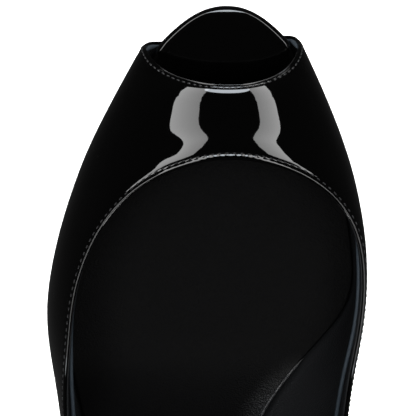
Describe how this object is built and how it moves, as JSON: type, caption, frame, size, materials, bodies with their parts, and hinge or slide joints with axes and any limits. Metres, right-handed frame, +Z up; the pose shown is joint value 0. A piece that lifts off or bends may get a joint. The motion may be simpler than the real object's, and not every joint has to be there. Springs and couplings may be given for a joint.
{
  "type": "stiletto pump",
  "caption": "Left peep-toe stiletto pump in black patent leather, with a low-cut throat, padded insole lip, thin sole and slim covered heel on a small tip.",
  "frame": {"origin": "on the floor, under the middle of the shoe's bounding box", "axes": "+Z up, +Y from the toe to the heel, +X towards the lateral (little toe) side"},
  "size_m": [0.0816, 0.2028, 0.1482],
  "materials": {
    "patent": "black patent leather with a high gloss",
    "sock": "matt black leather with a fine grain, glossy at the toe lip",
    "sole": "black sole leather, lightly polished",
    "heel_cover": "moulded heel covered in black patent leather",
    "tip": "matt black heel tip"
  },
  "bodies": {
    "root": {"upper": "patent", "insole": "sock", "outsole": "sole", "heel": "heel_cover", "heel_tip": "tip"}
  },
  "joints": []
}
